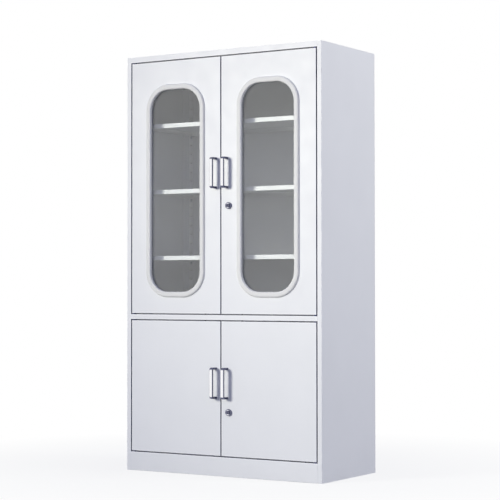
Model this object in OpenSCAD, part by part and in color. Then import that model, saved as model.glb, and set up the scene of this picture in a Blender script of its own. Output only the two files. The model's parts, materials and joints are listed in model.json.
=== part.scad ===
// A steel sterilization cabinet for sterile instruments: two glazed doors over two plain doors.
// Sizes are in millimetres. +X is to the right of someone who faces the doors, the doors
// face -Y and +Z is up. The origin is on the floor, in the middle of the outline that the
// cabinet and its handles fill. Depths called v are counted back from the front frame.

/* [Cabinet] */
// Width over both side panels
cabinet_w = 950; // [800:10:1200]
// Depth from the front frame to the back
cabinet_d = 450; // [380:10:600]
// Height from the floor to the top
cabinet_h = 1750; // [1730:10:2000]
// Thickness of the steel sheet
sheet_t = 1; // [0.8:0.1:1.2]
// Outer radius of the folded edges
fold_r = 1.6; // [1.4:0.1:2.2]
// Width of the flanges that the panels are joined by
flange_w = 18; // [14:1:24]

/* [Front frame] */
// Width of each stile
stile_w = 20.5; // [19:0.5:40]
// Height of the rail over the upper doors
top_rail_h = 23.5; // [22.5:0.5:60]
// Height of the rail between the upper and the lower doors
middle_rail_h = 21; // [21:0.5:60]
// Height of the plinth under the lower doors
plinth_h = 78.5; // [50:0.5:120]
// Gap round each door
door_gap = 4.5; // [3:0.1:5]
// How far the frame reaches in behind the doors, as their stop
stop_w = 14; // [12:1:24]
// How far each deck and stop stands past its rail
step_h = 12; // [11:1:16]
// Depth of the two front posts, behind the doors
post_d = 50; // [42:1:80]

/* [Doors] */
// Height of the lower doors
lower_door_h = 550.5; // [480:0.5:570]
// Thickness of a door
door_t = 20; // [20:1:26]
// Width of the lip folded round the back of a door
door_lip = 12; // [9:1:16]
// Gap between a closed door and its stop
stop_gap = 3; // [2.5:0.1:4]
// From the hinge axis to the edge and to the front of the door
hinge_inset = 7.5; // [7:0.1:8]
// Diameter of the hinge pins
pin_d = 8; // [6:0.5:8]
// How deep a hinge pin reaches into its bush
pin_reach = 8.5; // [6:0.5:9]
// Width of the stiffener down a plain door
stiffener_w = 60; // [40:2:100]

/* [Windows] */
// Width over the window trim
window_w = 295; // [200:1:300]
// Height over the window trim
window_h = 893; // [600:1:900]
// Corner radius of the trim
window_r = 108; // [60:1:115]
// From the top edge of the door down to the trim
window_drop = 98; // [60:1:110]
// Width of the trim
trim_w = 23; // [21:0.5:28]
// How far the trim stands out of the door
trim_rise = 8; // [7.5:0.5:10]
// Radius along the outer edge of the trim
trim_outer_r = 7.5; // [4:0.5:7.5]
// Radius along the edge of the trim at the glass
trim_inner_r = 5; // [2:0.5:6]
// Thickness of the glass
glass_t = 4; // [3:0.5:5]

/* [Handles] */
// Length of a handle
handle_h = 128; // [96:2:160]
// Width of the handle bar
handle_w = 16; // [12:1:20]
// Thickness of the handle bar
handle_t = 8.5; // [6:0.5:10]
// How far a handle stands out of the door
handle_reach = 35; // [26:1:42]
// Bend radius at the ends of a handle
handle_r = 12; // [11:0.5:16]
// Radius along the edges of the bar
handle_edge_r = 2.5; // [1:0.5:3]
// From the free edge of a door to the middle of its handle
handle_inset = 25; // [22:0.5:30]
// Height of an upper handle over the bottom edge of its door
upper_handle_z = 579.5; // [540:0.5:640]
// Height of a lower handle over the bottom edge of its door
lower_handle_z = 297.5; // [280:0.5:380]

/* [Locks] */
// From the free edge of a door to the lock
lock_inset = 36.5; // [35:0.5:38]
// Height of the upper lock over the bottom edge of its door
upper_lock_z = 443.5; // [420:0.5:460]
// Height of the lower lock over the bottom edge of its door
lower_lock_z = 179.5; // [150:0.5:200]
// Diameter of the lock's head
lock_head_d = 28; // [22:1:30]
// How far the lock stands out of the door
lock_rise = 8; // [3:0.5:10]
// Length of the tongue from the lock's axis
tongue_l = 48; // [44:1:52]
// Radius at which the pins that drive the rods run round the lock
drive_r = 13; // [12.5:0.1:14]
// Width of the locking rods
rod_w = 10; // [8:0.5:11]
// Thickness of the locking rods
rod_t = 3; // [2.5:0.1:3.5]
// Diameter of the bolts that hold the left doors
bolt_d = 8; // [6:0.5:9]
// Travel of those bolts
bolt_travel = 14; // [10:0.5:14]

/* [Shelves] */
// Height of a shelf's folded edge
shelf_h = 18; // [14:1:25]
// From the front frame back to the shelves
shelf_setback = 50; // [44:1:56]
// Distance between the slots for the shelf clips
slot_pitch = 40; // [36:1:50]
// From a deck up to the lowest place for a shelf
first_level = 34.5; // [30:0.5:50]
// Places between a deck and the lowest shelf
lowest_shelf = 5; // [3:1:6]
// Places between one upper shelf and the next
shelf_step = 7; // [4:1:7]
// Places between the lower deck and its shelf
lower_shelf_place = 6; // [3:1:8]

/* [Hidden] */
$fn = 48;

// Colours
paint = [0.92, 0.93, 0.95];
inner_paint = [0.55, 0.56, 0.58];
trim_white = [0.93, 0.93, 0.92];
glass_grey = [0.60, 0.63, 0.64, 0.45];
chrome = [0.78, 0.79, 0.83];
zinc = [0.62, 0.63, 0.65];
nylon = [0.88, 0.87, 0.82];
dark = [0.20, 0.20, 0.22];

// Clearances: between pieces that seat, round a turning or sliding piece, and past an edge
seat_gap = 0.3;
run_gap = 0.05;
cut = 1;

// Main places
side = cabinet_w / 2;
front = -(cabinet_d + handle_reach) / 2 + handle_reach;
rear_flange_v = cabinet_d - 1.5 * sheet_t;
rebate_d = door_t + stop_gap;
post_w = stile_w + stop_w;
post_back = rebate_d + post_d;
top_rail_z = cabinet_h - top_rail_h;
middle_rail_z = plinth_h + lower_door_h + 2 * door_gap;
middle_rail_top = middle_rail_z + middle_rail_h;
upper_deck_z = middle_rail_top + step_h;
lower_deck_z = plinth_h + step_h;
back_seam_z = upper_deck_z - flange_w / 2;
door_w = side - stile_w - 1.5 * door_gap;
lower_door_z = plinth_h + door_gap;
upper_door_z = middle_rail_top + door_gap;
upper_door_h = top_rail_z - door_gap - upper_door_z;
hinge_x = door_gap / 2 + door_w - hinge_inset;
inner_r = fold_r - sheet_t;

// Shelves, their clips and the slots that the clips hook into
shelf_w = 2 * (side - post_w) - 3;
shelf_rear_gap = 8;
shelf_d = cabinet_d - 2 * sheet_t - shelf_rear_gap - shelf_setback;
shelf_lip = 10;
clip_t = 2;
clip_w = 12;
clip_l = 14;
clip_h = 12;
clip_hook_h = 8;
slot_play = 2.5;
last_level_gap = 28;
upright_d = 31;
clip_from_post = 11;
front_clip_v = post_back - clip_from_post;
rear_clip_v = rear_flange_v - sheet_t / 2 - upright_d / 2;

// Windows: the trim's body passes through the door's cut-out, and the glass lies behind it
trim_seat = 15;
trim_depth = 5;
cut_out_inset = trim_seat - seat_gap;
glass_inset = 10;
glass_v = sheet_t + trim_depth;
retainer_inset = 6;
retainer_t = 2;
window_z = upper_door_h - window_drop - window_h / 2;
window_x = door_w / 2;

// Handle fixings
handle_screw_d = 4;
handle_screw_l = 10;
handle_leg_z = handle_h / 2 - handle_t / 2;

// Hinges: a pivot block in each door corner carries a pin, and the rails hold its bushes
bush_d = 11;
bush_l = 9.5;
bush_flange_d = 15;
bush_flange_t = 1.5;
pivot_block = 13;

// Lock and rods, from the front of the door backwards
barrel_d = 18;
plug_d = 12;
shank_w = 5.6;
lock_chamfer = 2;
keyway_w = 2.4;
keyway_h = 8;
keyway_d = 7;
tongue_screw_d = 9;
tongue_screw_l = 2.5;
driver_t = 2;
drive_pin_d = 4;
rod_v = door_t - sheet_t - 1 - rod_t;
driver_v = rod_v - 0.7 - driver_t;
barrel_back = driver_v - seat_gap;
tongue_v = door_t + 1;
tongue_t = 2;
tongue_w = 12;
nut_across = 24;
nut_t = 3;
// The pins go from 45 degrees on one side of level to 45 degrees on the other
drive_rise = drive_r * sin(45);
rod_travel = 2 * drive_rise;
rod_offset = (drive_r + drive_rise) / 2;
yoke_slot_h = drive_pin_d + 1.1;
yoke_slot_w = drive_r - drive_rise + drive_pin_d + 0.9;
yoke_wall = 2;
yoke_end = 3;
rod_end_gap = 1;
guide_h = 12;
guide_from_edge = 22;
guide_from_lock = 40;
guide_wall = 4;
guide_cover = 2;

// Bolts of the left doors
bolt_v = door_t / 2;
bolt_l = 75;
bolt_saddle_h = 12;
bolt_saddle_w = 16;
bolt_knob_drop = 50;
bolt_knob_d = 7;
bolt_knob_reach = 7;
bolt_plate_t = 2;
bolt_tail = 7;
bolt_end_room = 8;

// Catches
catch_w = 90;
catch_h = 24;
catch_d = 16;
catch_drop = 14;
magnet_w = 10;
catch_gap = 0.8;
buffer_d = 8;
buffer_x = 90;

// Sheet metal

// The section of a sheet folded at right angles. The points run along its middle.
module folded_section(path, t = sheet_t, r = fold_r) {
    last = len(path) - 1;
    mid_r = r - t / 2;
    for (i = [0 : last - 1]) {
        along = (path[i + 1] - path[i]) / norm(path[i + 1] - path[i]);
        from = path[i] + (i == 0 ? 0 : mid_r) * along;
        to = path[i + 1] - (i == last - 1 ? 0 : mid_r) * along;
        half = [abs(along.y) * t / 2, abs(along.x) * t / 2];
        low = [min(from.x, to.x), min(from.y, to.y)] - half;
        high = [max(from.x, to.x), max(from.y, to.y)] + half;
        translate(low) square(high - low);
    }
    for (i = [1 : last - 1]) {
        into = (path[i] - path[i - 1]) / norm(path[i] - path[i - 1]);
        out = (path[i + 1] - path[i]) / norm(path[i + 1] - path[i]);
        corner = into - out;
        translate(path[i] - mid_r * corner) intersection() {
            difference() {
                circle(r);
                circle(r - t);
            }
            translate([corner.x < 0 ? -r : 0, corner.y < 0 ? -r : 0]) square(r);
        }
    }
}

// Extrudes a section drawn as depth v and height z across the cabinet
module across(x0, x1) translate([x0, front, 0]) rotate([90, 0, 90]) linear_extrude(x1 - x0) children();

// A rectangle whose two corners on the front side are round
module front_rounded(w, d, r) {
    translate([r, 0]) square([w - 2 * r, d]);
    translate([0, r]) square([w, d - r]);
    for (x = [r, w - r]) translate([x, r]) circle(r);
}

// A block whose four front edges are round
module rounded_block(w, h, d, r) intersection() {
    linear_extrude(h) front_rounded(w, d, r);
    rotate([90, 0, 90]) linear_extrude(w) mirror([1, -1]) front_rounded(h, d, r);
}

// A sheet folded into a shallow tray, with a lip round its open back
module pan(w, h, d, lip) {
    t = sheet_t;
    difference() {
        rounded_block(w, h, d, fold_r);
        translate([t, t, t]) rounded_block(w - 2 * t, h - 2 * t, d - 2 * t, inner_r);
        translate([lip, d - 2 * t, lip]) cube([w - 2 * lip, 3 * t, h - 2 * lip]);
    }
}

// A cylinder that runs back from depth v0 to v1
module rod_y(v0, v1, d) translate([0, v0, 0]) rotate([-90, 0, 0]) cylinder(d = d, h = v1 - v0);

// A box given by its low and high corners
module box(low, high) translate(low) cube(high - low);

// The same piece for the other side of the cabinet
module on_side(s) {
    if (s > 0) children();
    else mirror([1, 0, 0]) children();
}

// Places a door's piece: x runs from the door's free edge to its hinge, z up from its bottom edge
module door_space(s, z) on_side(s) translate([door_gap / 2, front, z]) children();

// Carcass

// Heights at which a shelf's top can lie, over a deck and under the next stop
function places(deck, top) =
    [for (i = [0 : floor((top - deck - first_level - last_level_gap) / slot_pitch)])
        deck + first_level + i * slot_pitch];

lower_places = places(lower_deck_z, middle_rail_z - step_h);
upper_places = places(upper_deck_z, top_rail_z - step_h);
lower_shelf_z = lower_places[lower_shelf_place];
upper_shelf_z = [for (i = [0 : 2]) upper_places[lowest_shelf + i * shelf_step]];

// Cuts a row of clip slots through a wall whose outer face is at u from the side panel
module clip_slots(heights, v) {
    for (z = heights)
        box([-side + post_w - 3 * sheet_t, front + v - clip_w / 2 - seat_gap,
             z - shelf_h - clip_t - seat_gap],
            [-side + post_w + cut, front + v + clip_w / 2 + seat_gap,
             z - shelf_h + slot_play]);
}

// The room that a front post fills, up to height z1
module post_room(z1) for (s = [-1, 1]) on_side(s) {
    box([side - stile_w, front - cut, -cut], [side + cut, front + rebate_d, z1]);
    box([side - post_w, front + rebate_d, -cut], [side + cut, front + post_back, z1]);
}

// The room for the rear flanges of the side panels, up to height z1
module rear_flange_room(z1) for (s = [-1, 1]) on_side(s)
    box([side - flange_w, front + cabinet_d - 2 * sheet_t - run_gap, -cut], [side, front + cabinet_d, z1]);

// Left side panel, folded into a closed front post and a rear flange
module side_panel() color(paint) {
    t = sheet_t;
    difference() {
        translate([-side, front, 0]) linear_extrude(cabinet_h) folded_section([
            [flange_w, rear_flange_v], [t / 2, rear_flange_v], [t / 2, t / 2],
            [stile_w - t / 2, t / 2], [stile_w - t / 2, rebate_d + t / 2],
            [post_w - t / 2, rebate_d + t / 2], [post_w - t / 2, post_back - t / 2],
            [t, post_back - t / 2]]);
        // The top panel lies on the post and on the flange
        box([-side + t, front + t, cabinet_h - t],
            [-side + post_w + cut, front + cabinet_d, cabinet_h + cut]);
        clip_slots(concat(lower_places, upper_places), front_clip_v);
    }
    // Foot flange
    box([-side + t, front + post_back + cut, 0], [-side + flange_w + t, front + cabinet_d - 3 * t, t]);
}

// Round holes through a rail for the bolts of the left doors, and slots for the rods of the
// right door
module bolt_hole(z) door_space(-1, z) translate([handle_inset, bolt_v, -3 * sheet_t])
    cylinder(d = bolt_d + 2, h = 6 * sheet_t);
module rod_slot(z, x) door_space(1, z)
    box([x - rod_w / 2 - 1, rod_v - 1, -3 * sheet_t], [x + rod_w / 2 + 1, rod_v + rod_t + 1, 3 * sheet_t]);
module bush_holes(z) for (s = [-1, 1]) on_side(s) translate([hinge_x, front + hinge_inset, z - 3 * sheet_t])
    cylinder(d = bush_d + 2 * run_gap, h = 6 * sheet_t);

// Top sheet with its front rail and the stop behind the doors
module top_panel() color(paint) {
    t = sheet_t;
    difference() {
        across(-side + t, side - t) folded_section([
            [rear_flange_v, cabinet_h - flange_w], [rear_flange_v, cabinet_h - t / 2],
            [t / 2, cabinet_h - t / 2], [t / 2, top_rail_z + t / 2],
            [rebate_d + t / 2, top_rail_z + t / 2], [rebate_d + t / 2, top_rail_z - step_h]]);
        post_room(cabinet_h - t);
        rear_flange_room(cabinet_h - t);
        for (s = [-1, 1]) on_side(s)
            box([side - stile_w, front - cut, cabinet_h - 2 * t], [side + cut, front + t, cabinet_h + cut]);
        bush_holes(top_rail_z);
        bolt_hole(top_rail_z);
        rod_slot(top_rail_z, lock_inset - rod_offset);
    }
    // Side flanges, lapped inside the side panels
    for (s = [-1, 1]) on_side(s)
        box([side - 2 * t, front + post_back + cut, cabinet_h - flange_w],
            [side - t, front + cabinet_d - flange_w - upright_d, cabinet_h - t]);
}

// Deck of the upper compartment, folded down into the rail between the doors
module middle_deck() color(paint) {
    t = sheet_t;
    difference() {
        across(-side + t, side - t) folded_section([
            [rear_flange_v, upper_deck_z - flange_w], [rear_flange_v, upper_deck_z - t / 2],
            [rebate_d + t / 2, upper_deck_z - t / 2], [rebate_d + t / 2, middle_rail_top - t / 2],
            [t / 2, middle_rail_top - t / 2], [t / 2, middle_rail_z + t / 2],
            [rebate_d + t / 2, middle_rail_z + t / 2], [rebate_d + t / 2, middle_rail_z - step_h]]);
        post_room(cabinet_h);
        rear_flange_room(cabinet_h);
        bush_holes(middle_rail_z);
        bush_holes(middle_rail_top);
        bolt_hole(middle_rail_z);
        bolt_hole(middle_rail_top);
        rod_slot(middle_rail_top, lock_inset + rod_offset);
    }
}

// Deck of the lower compartment, folded down into the plinth and its foot
module base_deck() color(paint) {
    t = sheet_t;
    difference() {
        across(-side + t, side - t) folded_section([
            [rear_flange_v, lower_deck_z - flange_w], [rear_flange_v, lower_deck_z - t / 2],
            [rebate_d + t / 2, lower_deck_z - t / 2], [rebate_d + t / 2, plinth_h - t / 2],
            [t / 2, plinth_h - t / 2], [t / 2, t / 2], [rebate_d + t, t / 2]]);
        post_room(cabinet_h);
        rear_flange_room(cabinet_h);
        bush_holes(plinth_h);
        bolt_hole(plinth_h);
    }
}

// Back panel between two heights
module back_panel(z0, z1) color(paint)
    box([-side, front + cabinet_d - sheet_t, z0], [side, front + cabinet_d, z1]);

// Left rear upright of one compartment, a channel with a row of clip slots
module rear_upright(z0, z1, heights) {
    t = sheet_t;
    v1 = rear_flange_v - t;
    difference() {
        translate([-side, front, z0]) linear_extrude(z1 - z0) folded_section([
            [fold_r, v1], [post_w - t / 2, v1], [post_w - t / 2, v1 - upright_d + t],
            [t, v1 - upright_d + t]]);
        clip_slots(heights, rear_clip_v);
    }
}
module rear_shelf_uprights() color(inner_paint) for (s = [-1, 1]) on_side(-s) {
    rear_upright(lower_deck_z, upper_deck_z - fold_r, lower_places);
    rear_upright(upper_deck_z, cabinet_h - fold_r, upper_places);
}

// Shelves and clips

// A folded tray, open side down, whose top is at height z
module shelf(z) color(inner_paint)
    translate([-shelf_w / 2, front + shelf_setback, z]) rotate([-90, 0, 0])
        pan(shelf_w, shelf_d, shelf_h, shelf_lip);

// One clip of the left side: a ledge under the shelf, a leg down the slotted wall and a hook
// that goes up behind it
module shelf_clip(z, v) translate([-side + post_w, front + v - clip_w / 2, z - shelf_h]) {
    hook_x = -sheet_t - 2 * run_gap - clip_t;
    box([hook_x, 0, -clip_t], [clip_l, clip_w, 0]);
    box([0, 0, -clip_h], [clip_t, clip_w, 0]);
    box([hook_x, 0, -clip_t], [hook_x + clip_t, clip_w, clip_hook_h - clip_t]);
}
module shelf_clips() color(zinc)
    for (s = [-1, 1], z = concat(upper_shelf_z, [lower_shelf_z]), v = [front_clip_v, rear_clip_v])
        on_side(s) shelf_clip(z, v);

// Fittings of the frame

// A flanged bush in the underside of a rail, with its flange down
module bush() difference() {
    union() {
        translate([0, 0, -bush_flange_t]) cylinder(d = bush_flange_d, h = bush_flange_t);
        cylinder(d = bush_d, h = bush_l);
    }
    translate([0, 0, -2 * bush_flange_t]) cylinder(d = pin_d + 2 * run_gap, h = bush_l + 4 * bush_flange_t);
}
module hinge_bushes() color(nylon) for (s = [-1, 1]) on_side(s)
    translate([hinge_x, front + hinge_inset, 0]) {
        for (z = [top_rail_z, middle_rail_z]) translate([0, 0, z]) bush();
        for (z = [middle_rail_top, plinth_h]) translate([0, 0, z]) mirror([0, 0, 1]) bush();
    }

// Rubber pads on the stops, which the closed doors meet
module door_buffers() color(dark)
    for (s = [-1, 1], z = [top_rail_z - step_h / 2, middle_rail_top + step_h / 2,
                           middle_rail_z - step_h / 2, plinth_h + step_h / 2])
        on_side(s) translate([buffer_x, front, z]) rod_y(door_t + seat_gap, rebate_d, buffer_d);

// Magnetic catches behind the stops, one for each pair of doors
module each_catch() for (z = [top_rail_z - step_h, middle_rail_z - step_h])
    translate([0, front, z]) children();
module magnet_box(grow) for (s = [-1, 1]) on_side(s)
    box([door_gap / 2 + sheet_t, door_t + seat_gap, -catch_drop + 1.5 - grow],
        [door_gap / 2 + sheet_t + magnet_w, rebate_d, -1.5 + grow]);
module catch_housings() color(dark) each_catch() difference() {
    union() {
        box([-catch_w / 2, rebate_d + sheet_t, -catch_drop],
            [catch_w / 2, rebate_d + sheet_t + catch_d, catch_h - catch_drop]);
        box([-catch_w / 2, door_t + catch_gap, -catch_drop],
            [catch_w / 2, rebate_d + sheet_t + cut, -seat_gap]);
    }
    magnet_box(0);
}
module catch_magnets() color(zinc) each_catch() magnet_box(0);

// Doors

// Holes that every door has: for the handle screws and for the hinge pins
module door_holes(h, handle_z) {
    for (z = [-1, 1]) translate([handle_inset, 0, handle_z + z * handle_leg_z])
        rod_y(-cut, 2 * sheet_t, handle_screw_d + 0.5);
    for (z = [0, h]) translate([door_w - hinge_inset, hinge_inset, z - 2 * sheet_t])
        cylinder(d = pin_d + 0.4, h = 4 * sheet_t);
}

// Holes for the bolts in the top and bottom edges of a left door
module door_bolt_holes(h) for (z = [0, h]) translate([handle_inset, bolt_v, z - 2 * sheet_t])
    cylinder(d = bolt_d + 0.6, h = 4 * sheet_t);

module lock_hole(z) translate([lock_inset, 0, z]) rod_y(-cut, 2 * sheet_t, barrel_d + 0.4);

// The rod slots in the top and bottom edges of the upper right door
module door_rod_slots() {
    for (end = [[lock_inset - rod_offset, upper_door_h], [lock_inset + rod_offset, 0]])
        box([end.x - rod_w / 2 - 0.5, rod_v - 0.5, end.y - 2 * sheet_t],
            [end.x + rod_w / 2 + 0.5, rod_v + rod_t + 0.5, end.y + 2 * sheet_t]);
}

module upper_door_pan(s) color(paint) door_space(s, upper_door_z) difference() {
    pan(door_w, upper_door_h, door_t, door_lip);
    door_holes(upper_door_h, upper_handle_z);
    window_plate(cut_out_inset, -cut, 2 * sheet_t);
    if (s > 0) {
        lock_hole(upper_lock_z);
        door_rod_slots();
    } else door_bolt_holes(upper_door_h);
}

module lower_door_pan(s) color(paint) door_space(s, lower_door_z) difference() {
    pan(door_w, lower_door_h, door_t, door_lip);
    door_holes(lower_door_h, lower_handle_z);
    if (s > 0) lock_hole(lower_lock_z);
    else door_bolt_holes(lower_door_h);
}

// A hat-shaped stiffener down the back of a plain door
module stiffener(s) color(paint) door_space(s, lower_door_z) {
    t = sheet_t;
    depth = door_t - 2;
    half = stiffener_w / 2;
    foot = 14;
    translate([door_w / 2, 0, door_lip + 3]) linear_extrude(lower_door_h - 2 * door_lip - 6) folded_section([
        [-half - foot, 1.5 * t], [-half, 1.5 * t], [-half, depth - t / 2],
        [half, depth - t / 2], [half, 1.5 * t], [half + foot, 1.5 * t]]);
}

// Windows

// A plate of the window's outline drawn in by inset, from depth v0 to v1
module window_plate(inset, v0, v1) {
    w = window_w - 2 * inset;
    h = window_h - 2 * inset;
    r = window_r - inset;
    translate([window_x, v1, window_z]) rotate([90, 0, 0]) linear_extrude(v1 - v0) {
        square([w, h - 2 * r], center = true);
        square([w - 2 * r, h], center = true);
        for (x = [-1, 1], z = [-1, 1]) translate([x * (w / 2 - r), z * (h / 2 - r)]) circle(r);
    }
}

// Sweeps a section round the window. It is drawn as the inset from the window's outer edge,
// and as the depth v with its sign turned.
module round_window() translate([window_x, 0, window_z]) rotate([90, 0, 0]) {
    straight_w = window_w - 2 * window_r;
    straight_h = window_h - 2 * window_r;
    for (a = [0, 180]) rotate(a) {
        translate([straight_w / 2, straight_h / 2]) rotate_extrude(angle = 90, $fn = 96)
            translate([window_r, 0]) mirror([1, 0]) children();
        translate([-straight_w / 2, straight_h / 2]) rotate(90) rotate_extrude(angle = 90, $fn = 96)
            translate([window_r, 0]) mirror([1, 0]) children();
        translate([-straight_w / 2, 0, 0]) rotate([90, 0, 90]) linear_extrude(straight_w)
            translate([window_h / 2, 0]) mirror([1, 0]) children();
        translate([0, straight_h / 2, 0]) rotate([90, 0, 0]) linear_extrude(straight_h)
            translate([window_w / 2, 0]) mirror([1, 0]) children();
    }
}

// Rounded moulding in front of the door, with a body that fills the edge of the cut-out
module window_trim(s) color(trim_white) door_space(s, upper_door_z) round_window() {
    intersection() {
        square([trim_w, trim_rise]);
        union() {
            square([trim_w, trim_rise - trim_outer_r]);
            translate([trim_outer_r, trim_rise - trim_outer_r]) circle(trim_outer_r, $fn = 96);
            translate([trim_outer_r, 0]) square([trim_w - trim_outer_r - trim_inner_r, trim_rise]);
            translate([trim_w - trim_inner_r, trim_rise - trim_inner_r]) circle(trim_inner_r);
            translate([trim_w - trim_inner_r, 0]) square([trim_inner_r, trim_rise - trim_inner_r]);
        }
    }
    translate([trim_seat, -glass_v]) square([trim_w - trim_seat, glass_v + cut]);
}

module glass(s) color(glass_grey) door_space(s, upper_door_z)
    window_plate(glass_inset, glass_v, glass_v + glass_t);

// Frame that presses the glass against the trim from behind
module glass_retainer(s) color(paint) door_space(s, upper_door_z) round_window() {
    translate([retainer_inset, -glass_v - glass_t - retainer_t])
        square([glass_inset - seat_gap - retainer_inset, trim_depth + glass_t + retainer_t]);
    translate([retainer_inset, -glass_v - glass_t - retainer_t])
        square([trim_w - retainer_inset, retainer_t]);
}

// Handles

// A flat bar bent into a bow, with the long edges of its grip rounded
module handle(s, door_z, z) color(chrome) door_space(s, door_z) translate([handle_inset, 0, z])
    difference() {
        intersection() {
            translate([-handle_w / 2, 0, 0]) rotate([90, 0, 90]) linear_extrude(handle_w) folded_section([
                [0, -handle_leg_z], [-handle_reach + handle_t / 2, -handle_leg_z],
                [-handle_reach + handle_t / 2, handle_leg_z], [0, handle_leg_z]], handle_t, handle_r);
            translate([-handle_w / 2, -handle_reach, -handle_h / 2])
                linear_extrude(handle_h) front_rounded(handle_w, handle_reach, handle_edge_r);
        }
        for (side_z = [-1, 1]) translate([0, 0, side_z * handle_leg_z])
            rod_y(-handle_screw_l - 1, cut, handle_screw_d + 2 * run_gap);
    }

module handle_screws(s, door_z, z) color(zinc) door_space(s, door_z)
    for (side_z = [-1, 1]) translate([handle_inset, 0, z + side_z * handle_leg_z]) {
        rod_y(-handle_screw_l, 2 * sheet_t, handle_screw_d);
        rod_y(sheet_t, sheet_t + 2.5, 2 * handle_screw_d);
    }

// Hinges

// The two pivots of a door: a block in the corner of the pan, and a pin with a shoulder
module pivots(s, door_z, h) color(zinc) door_space(s, door_z)
    for (top = [false, true]) translate([0, 0, top ? h : 0]) mirror([0, 0, top ? 0 : 1]) {
        box([door_w - sheet_t - pivot_block, fold_r, -sheet_t - pivot_block],
            [door_w - sheet_t, fold_r + pivot_block, -sheet_t]);
        translate([door_w - hinge_inset, hinge_inset, 0]) {
            translate([0, 0, -2 * sheet_t]) cylinder(d = pin_d, h = 2 * sheet_t + door_gap + pin_reach);
            cylinder(d = pin_d + 3, h = door_gap - bush_flange_t - seat_gap);
        }
    }

// Locks

// Head and threaded body of a lock, with the bore that its plug turns in
module lock_barrel(door_z, z) color(chrome) door_space(1, door_z) translate([lock_inset, 0, z])
    difference() {
        union() {
            rod_y(-lock_rise + lock_chamfer, 0, lock_head_d);
            translate([0, -lock_rise + lock_chamfer, 0]) rotate([90, 0, 0])
                cylinder(d1 = lock_head_d, d2 = lock_head_d - 2 * lock_chamfer, h = lock_chamfer);
            rod_y(-cut, barrel_back, barrel_d);
        }
        rod_y(-lock_rise - cut, barrel_back + cut, plug_d + 2 * run_gap);
    }

module lock_nut(door_z, z) color(zinc) door_space(1, door_z) translate([lock_inset, 0, z]) difference() {
    translate([0, sheet_t, 0]) rotate([-90, 0, 0]) cylinder(d = nut_across / cos(30), h = nut_t, $fn = 6);
    rod_y(0, sheet_t + nut_t + cut, barrel_d + 2 * run_gap);
}

// Plug with its keyway, the square shank behind it, and the screw that holds the tongue
module lock_plug(door_z, z) color(chrome) door_space(1, door_z) translate([lock_inset, 0, z]) {
    shank_end = tongue_v + tongue_t;
    difference() {
        rod_y(-lock_rise + 0.7, barrel_back, plug_d);
        box([-keyway_w / 2, -lock_rise - cut, -keyway_h / 2],
            [keyway_w / 2, -lock_rise + keyway_d, keyway_h / 2]);
    }
    box([-shank_w / 2, barrel_back - cut, -shank_w / 2], [shank_w / 2, shank_end, shank_w / 2]);
    rod_y(shank_end, shank_end + tongue_screw_l, tongue_screw_d);
}

module shank_hole(v0, v1) {
    half = shank_w / 2 + 2 * run_gap;
    box([-half, v0, -half], [half, v1, half]);
}

// Plate that turns with the plug and carries the two pins that move the rods
module lock_driver() color(zinc) door_space(1, upper_door_z) translate([lock_inset, 0, upper_lock_z]) {
    difference() {
        rod_y(driver_v, driver_v + driver_t, 2 * drive_r + drive_pin_d + 4);
        shank_hole(driver_v - cut, driver_v + driver_t + cut);
    }
    for (turn = [1, -1]) translate([turn * drive_rise, 0, turn * drive_rise])
        rod_y(driver_v + driver_t / 2, rod_v + rod_t + 0.6, drive_pin_d);
}

// Flat tongue that hangs down while the lock is open, and turns in behind the left door
module lock_tongue(door_z, z) color(zinc) door_space(1, door_z) translate([lock_inset, 0, z]) difference() {
    translate([0, tongue_v + tongue_t, 0]) rotate([90, 0, 0]) linear_extrude(tongue_t) {
        circle(d = tongue_w + 4);
        translate([-tongue_w / 2, -tongue_l + tongue_w / 2]) square([tongue_w, tongue_l - tongue_w / 2]);
        translate([0, -tongue_l + tongue_w / 2]) circle(d = tongue_w);
    }
    shank_hole(tongue_v - cut, tongue_v + tongue_t + cut);
}

// A flat rod that ends in a yoke, whose slot a pin of the driver moves in. The yoke's slot is
// at the origin, and the rod goes up.
module locking_rod(l) translate([0, rod_v + rod_t, 0]) rotate([90, 0, 0]) linear_extrude(rod_t)
    difference() {
        yoke = [yoke_slot_w + 2 * yoke_wall, yoke_slot_h + 2 * yoke_end];
        union() {
            square(yoke, center = true);
            translate([-rod_w / 2, 0]) square([rod_w, l - rod_w / 2]);
            translate([0, l - rod_w / 2]) circle(d = rod_w);
        }
        square([yoke_slot_w, yoke_slot_h], center = true);
    }
module top_locking_rod() color(zinc) door_space(1, upper_door_z)
    translate([lock_inset - rod_offset, 0, upper_lock_z - drive_rise])
        locking_rod(upper_door_h - rod_end_gap - upper_lock_z + drive_rise);
module bottom_locking_rod() color(zinc) door_space(1, upper_door_z)
    translate([lock_inset + rod_offset, 0, upper_lock_z + drive_rise]) mirror([0, 0, 1])
        locking_rod(upper_lock_z + drive_rise - rod_end_gap);

// Blocks that the rods slide in, on the inside of the upper right door
module rod_guides() color(nylon) door_space(1, upper_door_z) {
    x_top = lock_inset - rod_offset;
    x_bottom = lock_inset + rod_offset;
    for (g = [[x_top, upper_door_h - guide_from_edge], [x_top, (upper_door_h + upper_lock_z) / 2],
              [x_top, upper_lock_z + guide_from_lock], [x_bottom, upper_lock_z - guide_from_lock],
              [x_bottom, upper_lock_z / 2], [x_bottom, guide_from_edge]])
        translate([g.x, 0, g.y - guide_h / 2]) difference() {
            box([-rod_w / 2 - guide_wall, sheet_t, 0],
                [rod_w / 2 + guide_wall, rod_v + rod_t + guide_cover, guide_h]);
            box([-rod_w / 2 - seat_gap, rod_v - seat_gap, -cut],
                [rod_w / 2 + seat_gap, rod_v + rod_t + seat_gap, guide_h + cut]);
        }
}

// Bolts of the left doors

// Places a bolt's piece at the top or bottom edge of a left door, with its end towards the edge
module bolt_space(door_z, h, top) door_space(-1, door_z) translate([handle_inset, 0, top ? h : 0])
    mirror([0, 0, top ? 0 : 1]) children();

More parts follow.
